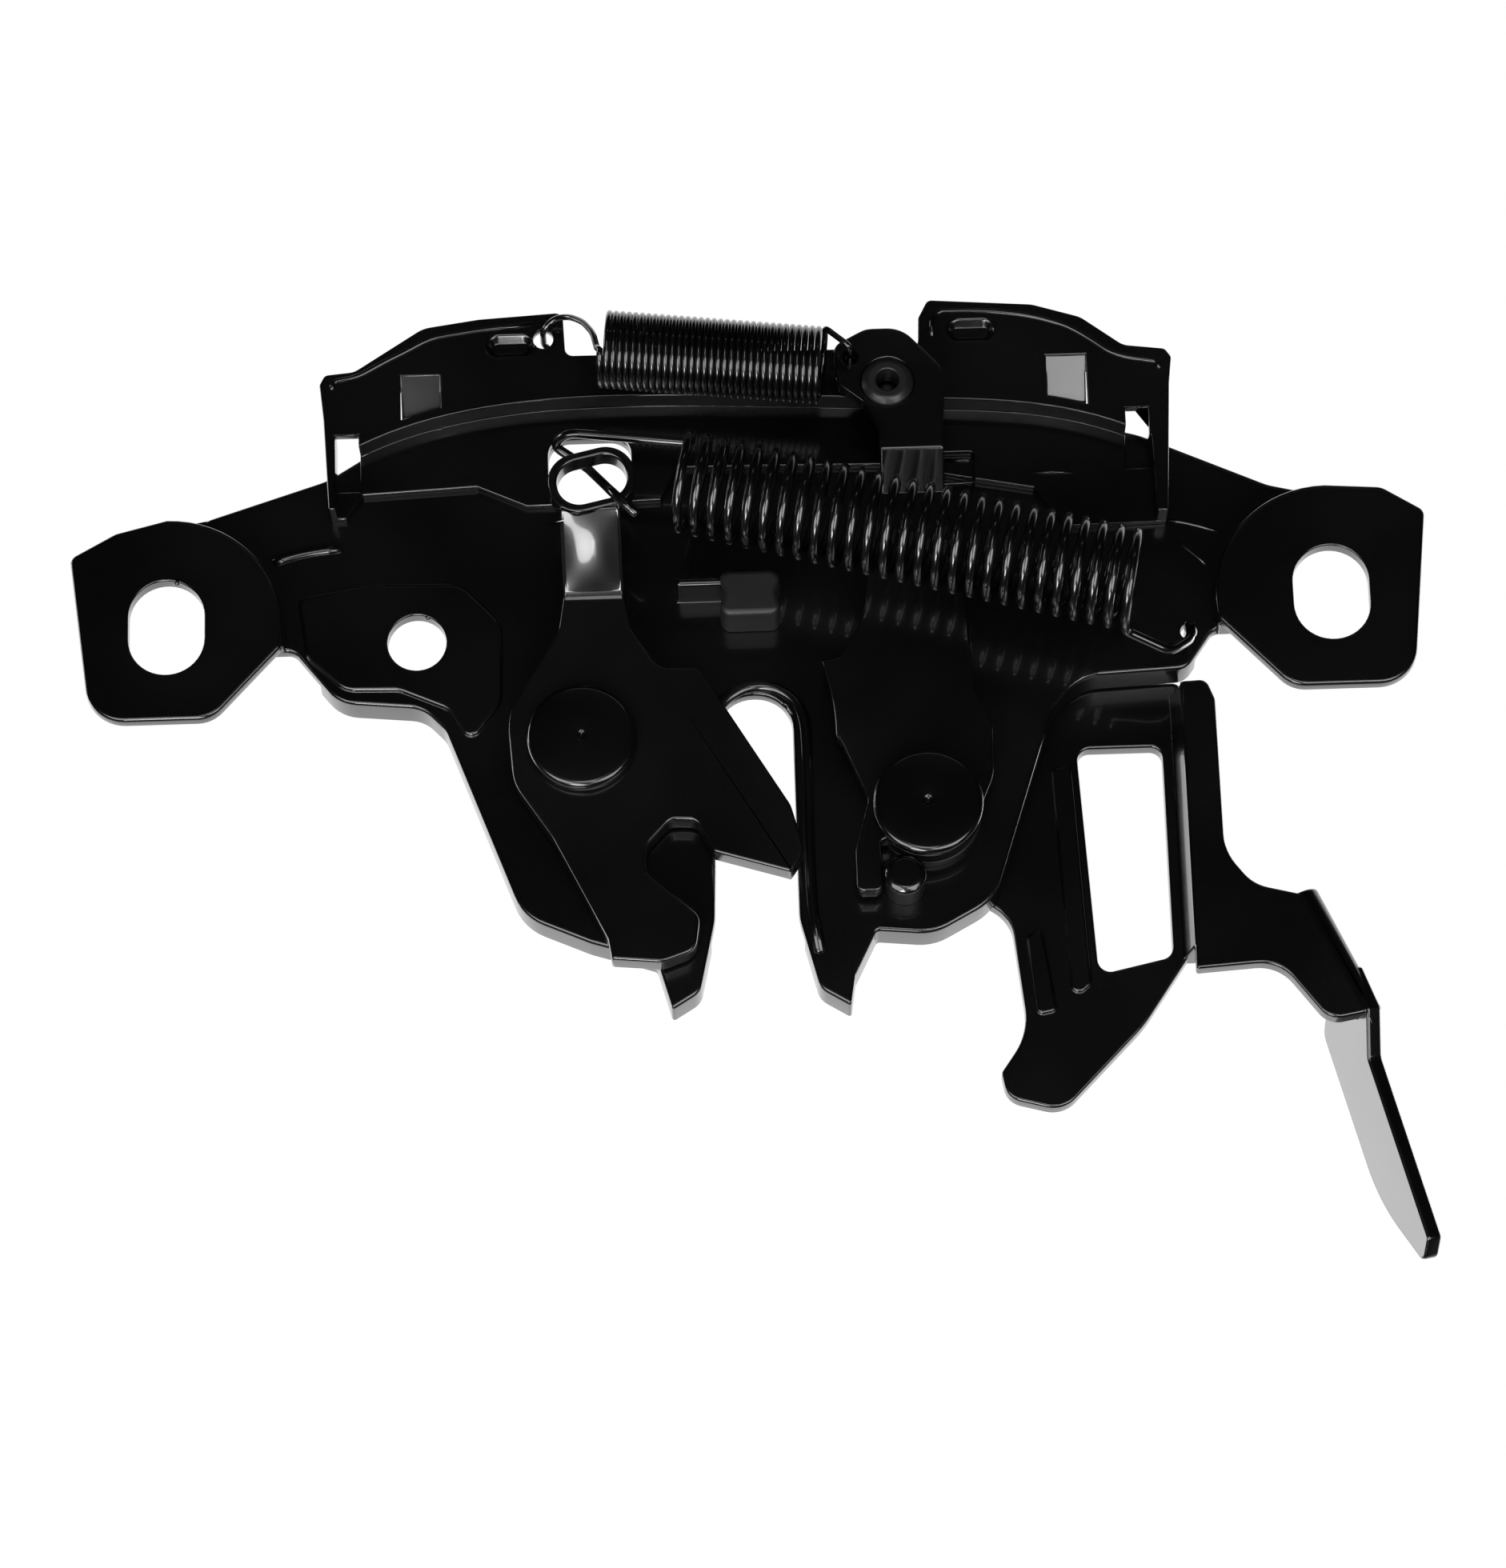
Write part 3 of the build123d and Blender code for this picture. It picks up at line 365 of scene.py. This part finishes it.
def rivetHead(name, shape, look):
    head, top, seat, roll = shape["head"], shape["top"], shape["seat"], shape["roll"]
    edge, tailRound, middle = shape["edge"], shape["tailRound"], shape["middle"]
    mark, tailStart, tailRadius = look["mark"], look["tailStart"], look["tailRadius"]
    quarter = [math.radians(90 * i / shape["arcSteps"]) for i in range(shape["arcSteps"] + 1)]
    markFloor = top + shape["markDepth"]
    points = [(middle, markFloor), (mark, markFloor)]
    points += [(mark + shape["markSlope"], top + shape["markLip"]), (mark + shape["markRim"], top)]
    for a in quarter:
        points.append((head - roll + roll * math.sin(a), top + roll * (1 - math.cos(a))))
    points += [(head, seat - edge), (head - edge, seat), (shape["shoulder"], seat)]
    points += [(shape["shoulder"], shape["shoulderEnd"]), (shape["shank"], shape["shoulderEnd"])]
    points += [(shape["shank"], tailStart), (tailRadius, tailStart)]
    for a in quarter[1:]:
        radius = tailRadius - tailRound + tailRound * math.cos(a)
        points.append((radius, tailStart + look["tailHeight"] * math.sin(a)))
    points.append((middle, tailStart + look["tailHeight"]))
    return turnedMesh(name, look["at"], points, shape["steps"])


clawRivetPiece = rivetHead("clawRivetHead", rivetShape, clawRivetLook)
pawlRivetPiece = rivetHead("pawlRivetHead", rivetShape, pawlRivetLook)
for piece, nodeName in ((clawRivetPiece, "claw_rivet"), (pawlRivetPiece, "pawl_rivet")):
    piece.data.materials.append(finishes["rivet_paint"])
    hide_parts(nodeName)
    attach(piece, "frame")

# The pressed neck of the claw swells a little, so that light gathers in a soft spot on it. Its
# plane leans at 45 degrees and meets z = 0 at y = front; the swell stands height above it.
neckLook = {
    "left": -27.1, "right": -18.7, "foot": 3.2, "top": 13.0, "front": 0.6,
    "height": 0.62, "under": 0.02, "sunk": 0.4, "steps": 24,
}


def neckSwell(name, look):
    steps = look["steps"]
    vertices, faces = [], []
    for layer in (0, 1):
        for i in range(steps + 1):
            for k in range(steps + 1):
                u, v = 2 * i / steps - 1, 2 * k / steps - 1
                x = look["left"] + (look["right"] - look["left"]) * i / steps
                z = look["foot"] + (look["top"] - look["foot"]) * k / steps
                dome = look["height"] * (1 - u * u) * (1 - v * v) - look["under"]
                step = (dome if layer == 0 else -look["sunk"]) * math.sqrt(0.5)
                vertices.append((x * mm, (look["front"] - z - step) * mm, (z - step) * mm))
    row, sheet = steps + 1, (steps + 1) ** 2
    for i in range(steps):
        for k in range(steps):
            a = i * row + k
            faces.append((a, a + row, a + row + 1, a + 1))
            faces.append((sheet + a, sheet + a + 1, sheet + a + row + 1, sheet + a + row))
    broadFaces = len(faces)
    for k in range(steps):
        low, high = k, steps * row + k
        faces.append((low, low + 1, sheet + low + 1, sheet + low))
        faces.append((high + 1, high, sheet + high, sheet + high + 1))
        left, right = k * row, k * row + steps
        faces.append((left + row, left, sheet + left, sheet + left + row))
        faces.append((right, right + row, sheet + right + row, sheet + right))
    return meshPiece(name, vertices, faces, lambda polygon: polygon.index < broadFaces)


neckPiece = neckSwell("clawNeckSwell", neckLook)
neckPiece.data.materials.append(finishes["claw_paint"])
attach(neckPiece, "claw")

# Raised lines, folds and paint runs of the pressings, as round beads half sunk in the sheet, with
# the radius of each kind.
beadLook = {"crease": 0.75, "rim": 0.42, "slot": 0.95, "mark": 0.28, "run": 0.38, "sides": 12}


def bead(name, kind, slotName, points, reach=2.0):
    path = rounded(points, reach) if len(points) > 2 else points
    piece = tubeMesh(name, path, beadLook[kind], beadLook["sides"])
    piece.data.materials.append(finishes[slotName])
    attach(piece, "frame")


bead("leftArmCrease", "crease", "plate_paint", [
    (-70.5, 2.5, 11.8), (-67.8, 2.5, 12.7), (-64.2, 2.5, 13.4), (-60.6, 2.5, 13.7)])
bead("rightArmCrease", "mark", "plate_paint", [
    (62.3, 2.5, 14.4), (66.5, 2.5, 13.5), (70.9, 2.5, 11.9)])
bead("rightArmFold", "mark", "plate_paint", [
    (63.7, 2.5, 11.0), (66.2, 2.5, 8.9), (68.1, 2.5, 7.0)])
bead("leftEarRim", "rim", "bracket_paint", [
    (-61.4, -3.0, 37.2), (-61.1, -3.0, 38.5), (-57.8, -3.0, 39.0), (-53.4, -3.0, 41.5),
    (-50.4, -3.0, 43.0), (-46.8, -3.0, 45.0), (-39.0, -3.0, 46.2), (-31.0, -3.0, 46.9)], 3.0)
bead("rightEarRim", "rim", "bracket_paint", [
    (28.6, -3.0, 42.9), (28.8, -3.0, 46.0), (29.8, -3.0, 47.0), (36.7, -3.0, 46.9),
    (43.6, -3.0, 45.9), (49.2, -3.0, 43.9), (52.3, -3.0, 41.8), (55.3, -3.0, 39.4),
    (57.9, -3.0, 38.5), (62.0, -3.0, 37.8), (62.5, -3.0, 36.6)], 3.0)
bead("slotBead", "slot", "plate_paint", [
    (-5.9, 2.7, -16.1), (-4.4, 2.7, -12.4), (-1.7, 2.7, -10.6), (1.3, 2.7, -10.0),
    (4.5, 2.7, -10.9), (6.9, 2.7, -13.1), (7.8, 2.7, -16.5), (7.9, 2.7, -23.4),
    (7.7, 2.7, -34.6), (7.8, 2.7, -44.5), (8.8, 2.7, -51.9)], 3.0)
bead("webMark", "mark", "bracket_paint", [
    (28.6, 0.85, 24.4), (34.0, 0.85, 24.2), (34.2, 0.85, 20.6), (28.0, 0.85, 20.4),
    (28.0, 0.85, 24.1)], 0.9)
bead("webLine", "mark", "bracket_paint", [(42.9, 0.85, 22.0), (48.9, 0.85, 21.8)])
bead("leftPadRun", "run", "plate_paint", [(-84.4, -2.4, 7.6), (-84.5, -2.3, 6.8)])
bead("locatingRun", "run", "plate_paint", [(-47.6, 2.2, 2.9), (-47.7, 2.2, 1.9)])

# The springs stand in for the imported ones, which are hidden.
springPieces = {
    "main_spring": mainSpringPiece,
    "pawl_spring": pawlSpringPiece,
    "lever_spring": leverSpringPiece,
}
for nodeName, piece in springPieces.items():
    piece.data.materials.append(finishes["spring_wire"])
    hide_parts(nodeName)
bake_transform(mainSpringPiece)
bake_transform(pawlSpringPiece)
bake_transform(leverSpringPiece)
print("stage: springs")

# Soft edges where the sheet was cut and pressed: wide on outer corners, narrow in inner ones.
# Widths are in mm, weld is in metres, and least and flat are angles in degrees.
edgeLook = {
    "segments": 3, "least": 26.0, "plain": 0.2, "inner": 0.12, "hole": 0.3,
    "outer": {"base_plate": 0.6, "top_bracket": 0.25, "claw": 0.45, "pawl": 0.35,
              "safety_lever": 0.45, "stop_buffer": 0.5, "cable_bush": 0.3, "stop_pin": 0.3},
    "weld": 0.00001, "flat": 0.6, "soft": 50,
}
# The claw's level folds, by the turn between their faces and their height above z = 0.
foldLook = {"width": 0.9, "low": 30.0, "high": 60.0, "level": 0.98, "top": 15.0}
# The plate's round and oblong holes: x, z and the reach that takes in their edges.
plateHoles = [(-86.0, 0.0, 9.5), (86.0, 0.0, 9.5), (-49.3, -1.9, 5.2), (65.0, -3.6, 2.0)]
micronsInMetre = 1e6


# Corners by place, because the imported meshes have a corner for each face.
def cornerKey(point):
    return tuple(round(value * micronsInMetre) for value in point)


def facesOfCreases(mesh, keys):
    found = {}
    for polygon in mesh.polygons:
        ring = [keys[i] for i in polygon.vertices]
        for i in range(len(ring)):
            pair = frozenset((ring[i], ring[(i + 1) % len(ring)]))
            found.setdefault(pair, []).append((polygon.normal.copy(), polygon.center.copy()))
    return found


def isFold(start, end, turn):
    middle = (start + end) / 2
    level = abs((start - end).normalized().x) > foldLook["level"]
    inBand = 0 < middle.z / mm < foldLook["top"]
    return level and inBand and foldLook["low"] < math.degrees(turn) < foldLook["high"]


# Gives each crease of a mesh its own share of the widest bevel, and returns that width.
def weighCreases(nodeName, mesh):
    outer = edgeLook["outer"].get(nodeName, edgeLook["plain"])
    inner, hole = min(edgeLook["inner"], outer), min(edgeLook["hole"], outer)
    widest = max(outer, foldLook["width"]) if nodeName == "claw" else outer
    keys = [cornerKey(v.co) for v in mesh.vertices]
    faceSides = facesOfCreases(mesh, keys)
    weights = mesh.attributes.new("bevel_weight_edge", "FLOAT", "EDGE")
    values = [0.0] * len(mesh.edges)
    for edge in mesh.edges:
        a, b = edge.vertices
        faces = faceSides.get(frozenset((keys[a], keys[b])), [])
        if len(faces) != 2:
            continue
        (firstNormal, firstCentre), (secondNormal, secondCentre) = faces
        turn = firstNormal.angle(secondNormal, 0.0)
        if turn < math.radians(edgeLook["least"]):
            continue
        start, end = mesh.vertices[a].co, mesh.vertices[b].co
        width = outer if (secondCentre - firstCentre).dot(firstNormal) < 0 else inner
        if nodeName == "base_plate":
            middle = (start + end) / 2
            for x, z, reach in plateHoles:
                if math.hypot(middle.x / mm - x, middle.z / mm - z) < reach:
                    width = hole
        if nodeName == "claw" and isFold(start, end, turn):
            width = foldLook["width"]
        values[edge.index] = width / widest
    weights.data.foreach_set("value", values)
    return widest


replaced = set(springPieces) | {"claw_rivet", "pawl_rivet"}
for nodeName, item in nodesByName.items():
    if nodeName in replaced:
        continue
    item.data.polygons.foreach_set("use_smooth", [True] * len(item.data.polygons))
    widest = weighCreases(nodeName, item.data)
    weld = item.modifiers.new("join", "WELD")
    weld.merge_threshold = edgeLook["weld"]
    flat = item.modifiers.new("flat", "DECIMATE")
    flat.decimate_type = "DISSOLVE"
    flat.angle_limit = math.radians(edgeLook["flat"])
    bevel = item.modifiers.new("edge", "BEVEL")
    bevel.width = widest * mm
    bevel.segments = edgeLook["segments"]
    bevel.limit_method = "WEIGHT"
    bevel.use_clamp_overlap = False
    bevel.harden_normals = False
    soft = item.modifiers.new("soft", "WEIGHTED_NORMAL")
    soft.mode = "FACE_AREA"
    soft.weight = edgeLook["soft"]
print("stage: edges")

# Lamps of the studio: places in metres, what they aim at, their width and height, and watts.
lampLooks = {
    "lowKey": {"at": (-0.085, -0.19, -0.385), "aim": (-0.02, 0.0, 0.0),
               "size": (0.16, 0.12), "watts": 0.72, "outline": "ELLIPSE"},
    "shelfKey": {"at": (-0.0115, -0.19, -0.40), "aim": (-0.008, 0.0, 0.004),
                 "size": (0.03, 0.06), "watts": 0.04},
    "leftSide": {"at": (-1.1, -0.06, 0.44), "aim": (-0.02, 0.0, 0.0),
                 "size": (0.22, 0.4), "watts": 1.8},
    "leftBack": {"at": (-1.25, 0.80, 0.12), "aim": (0.06, 0.0, -0.05),
                 "size": (0.9, 0.9), "watts": 8.5},
    "rightBack": {"at": (1.3, 0.9, 0.3), "aim": (0.0, 0.0, 0.0),
                  "size": (0.6, 0.9), "watts": 8.0},
    "highStrip": {"at": (0.1, -0.9, 0.62), "aim": (0.0, 0.0, 0.0),
                  "size": (0.5, 0.04), "watts": 0.1},
    "frontBox": {"at": (0.0, -1.35, -0.22), "aim": (0.0, 0.0, -0.01),
                 "size": (0.3, 0.5), "watts": 1.6},
    "wireLeft": {"at": (-0.205, -0.306, -0.27), "aim": (0.0, 0.0, 0.01),
                 "size": (0.31, 0.22), "watts": 1.0},
    "wireRight": {"at": (0.205, -0.306, -0.27), "aim": (0.0, 0.0, 0.01),
                  "size": (0.31, 0.22), "watts": 1.0},
    "dartKey": {"at": (0.10, -0.69, -0.365), "aim": (0.048, 0.0, 0.036),
                "size": (0.06, 0.06), "watts": 0.1},
}
for lampName, look in lampLooks.items():
    data = bpy.data.lights.new(lampName, "AREA")
    data.shape = look.get("outline", "RECTANGLE")
    data.size, data.size_y = look["size"]
    data.energy = look["watts"]
    lamp = bpy.data.objects.new(lampName, data)
    scene.collection.objects.link(lamp)
    lamp.location = look["at"]
    aim = Vector(look["aim"]) - Vector(look["at"])
    lamp.rotation_mode = "QUATERNION"
    lamp.rotation_quaternion = aim.to_track_quat("-Z", "Y")

# Surroundings: white to the camera, dark in front and white behind in the paint's reflections.
worldLook = {
    "front": 0.006, "back": 1.0, "under": 0.02, "diffuse": 0.3,
    "backRange": (0.0, 0.35), "underRange": (0.02, -0.2),
}
world = bpy.data.worlds.new("studio")
scene.world = world
world.use_nodes = True
sky = Graph(world.node_tree)
way = sky.node("ShaderNodeTexCoord", out="Generated")
behind = sky.node("ShaderNodeSeparateXYZ", {}, {0: way}, out="Y").clipped(*worldLook["backRange"])
under = sky.node("ShaderNodeSeparateXYZ", {}, {0: way}, out="Z").clipped(*worldLook["underRange"])
tone = worldLook["front"] + behind * worldLook["back"] + (1 - behind) * under * worldLook["under"]
fromDiffuse = sky.node("ShaderNodeLightPath", out="Is Diffuse Ray")
fromCamera = sky.node("ShaderNodeLightPath", out="Is Camera Ray")
shown = sky.tint(fromDiffuse, tone, grey(worldLook["diffuse"]))
shown = sky.tint(fromCamera, shown, white)
lit = sky.node("ShaderNodeBackground", {}, {"Color": shown, "Strength": 1.0})
sky.node("ShaderNodeOutputWorld", {}, {"Surface": lit})

# Pale floor that keeps the latch's shadow; in reflections it is dark in front and white far behind.
floorLook = {
    "level": -0.46, "half": 3.0, "tones": (0.9, 0.92), "grain": 30.0, "rough": 0.8,
    "shadowDepth": 0.35, "near": 0.02, "farRange": (0.0, 0.7),
}
half, level = floorLook["half"], floorLook["level"]
floorCorners = [
    (-half, -half, level), (half, -half, level), (half, half, level), (-half, half, level)]
floorPiece = meshPiece("floor", floorCorners, [(0, 1, 2, 3)], lambda polygon: False)
floorMaterial = bpy.data.materials.new("floor_paper")
floorMaterial.use_nodes = True
paper = Graph(floorMaterial.node_tree)
floorPlace = paper.node("ShaderNodeTexCoord", out="Object")
paleTone, brightTone = (grey(value) for value in floorLook["tones"])
paperTone = paper.tint(paper.noise(floorPlace, floorLook["grain"]), paleTone, brightTone)
paperShader = paper.node("ShaderNodeBsdfPrincipled", {}, {
    "Base Color": paperTone, "Roughness": floorLook["rough"]})
toCamera = paper.node("ShaderNodeLightPath", out="Is Camera Ray")
toGloss = paper.node("ShaderNodeLightPath", out="Is Glossy Ray")
depth = paper.node("ShaderNodeSeparateXYZ", {}, {0: floorPlace}, out="Y")
far = depth.clipped(*floorLook["farRange"], floorLook["near"], 1.0)
sheen = paper.tint(toGloss, white, paper.tint(far, grey(0.0), white))
glow = paper.node("ShaderNodeEmission", {}, {"Color": sheen, "Strength": 1.0})
seen = toCamera * (1 - floorLook["shadowDepth"]) + toGloss
mixed = paper.node("ShaderNodeMixShader", {}, {0: seen, 1: paperShader, 2: glow})
paper.node("ShaderNodeOutputMaterial", {}, {"Surface": mixed})
floorPiece.data.materials.append(floorMaterial)
print("stage: studio")

# Camera: below the latch, looking up at it as in the photo. Tilt and roll are in degrees.
cameraLook = {
    "tilt": 20.0, "roll": 1.77, "lens": 139.68, "sensor": 36.0,
    "place": (-0.0002, -0.8372, -0.3312),
}
cameraData = bpy.data.cameras.new("camera")
cameraData.sensor_width = cameraLook["sensor"]
cameraData.lens = cameraLook["lens"]
camera = bpy.data.objects.new("camera", cameraData)
scene.collection.objects.link(camera)
tilt, roll = math.radians(cameraLook["tilt"]), math.radians(cameraLook["roll"])
ahead = Vector((0, math.cos(tilt), math.sin(tilt)))
plainUp = Vector((0, -math.sin(tilt), math.cos(tilt)))
plainRight = Vector((1, 0, 0))
rightWay = math.cos(roll) * plainRight - math.sin(roll) * plainUp
upWay = math.sin(roll) * plainRight + math.cos(roll) * plainUp
turn = Matrix((rightWay, upWay, -ahead)).transposed()
camera.matrix_world = Matrix.Translation(Vector(cameraLook["place"])) @ turn.to_4x4()
scene.camera = camera
scene.view_settings.view_transform = "Standard"
print("stage: camera")
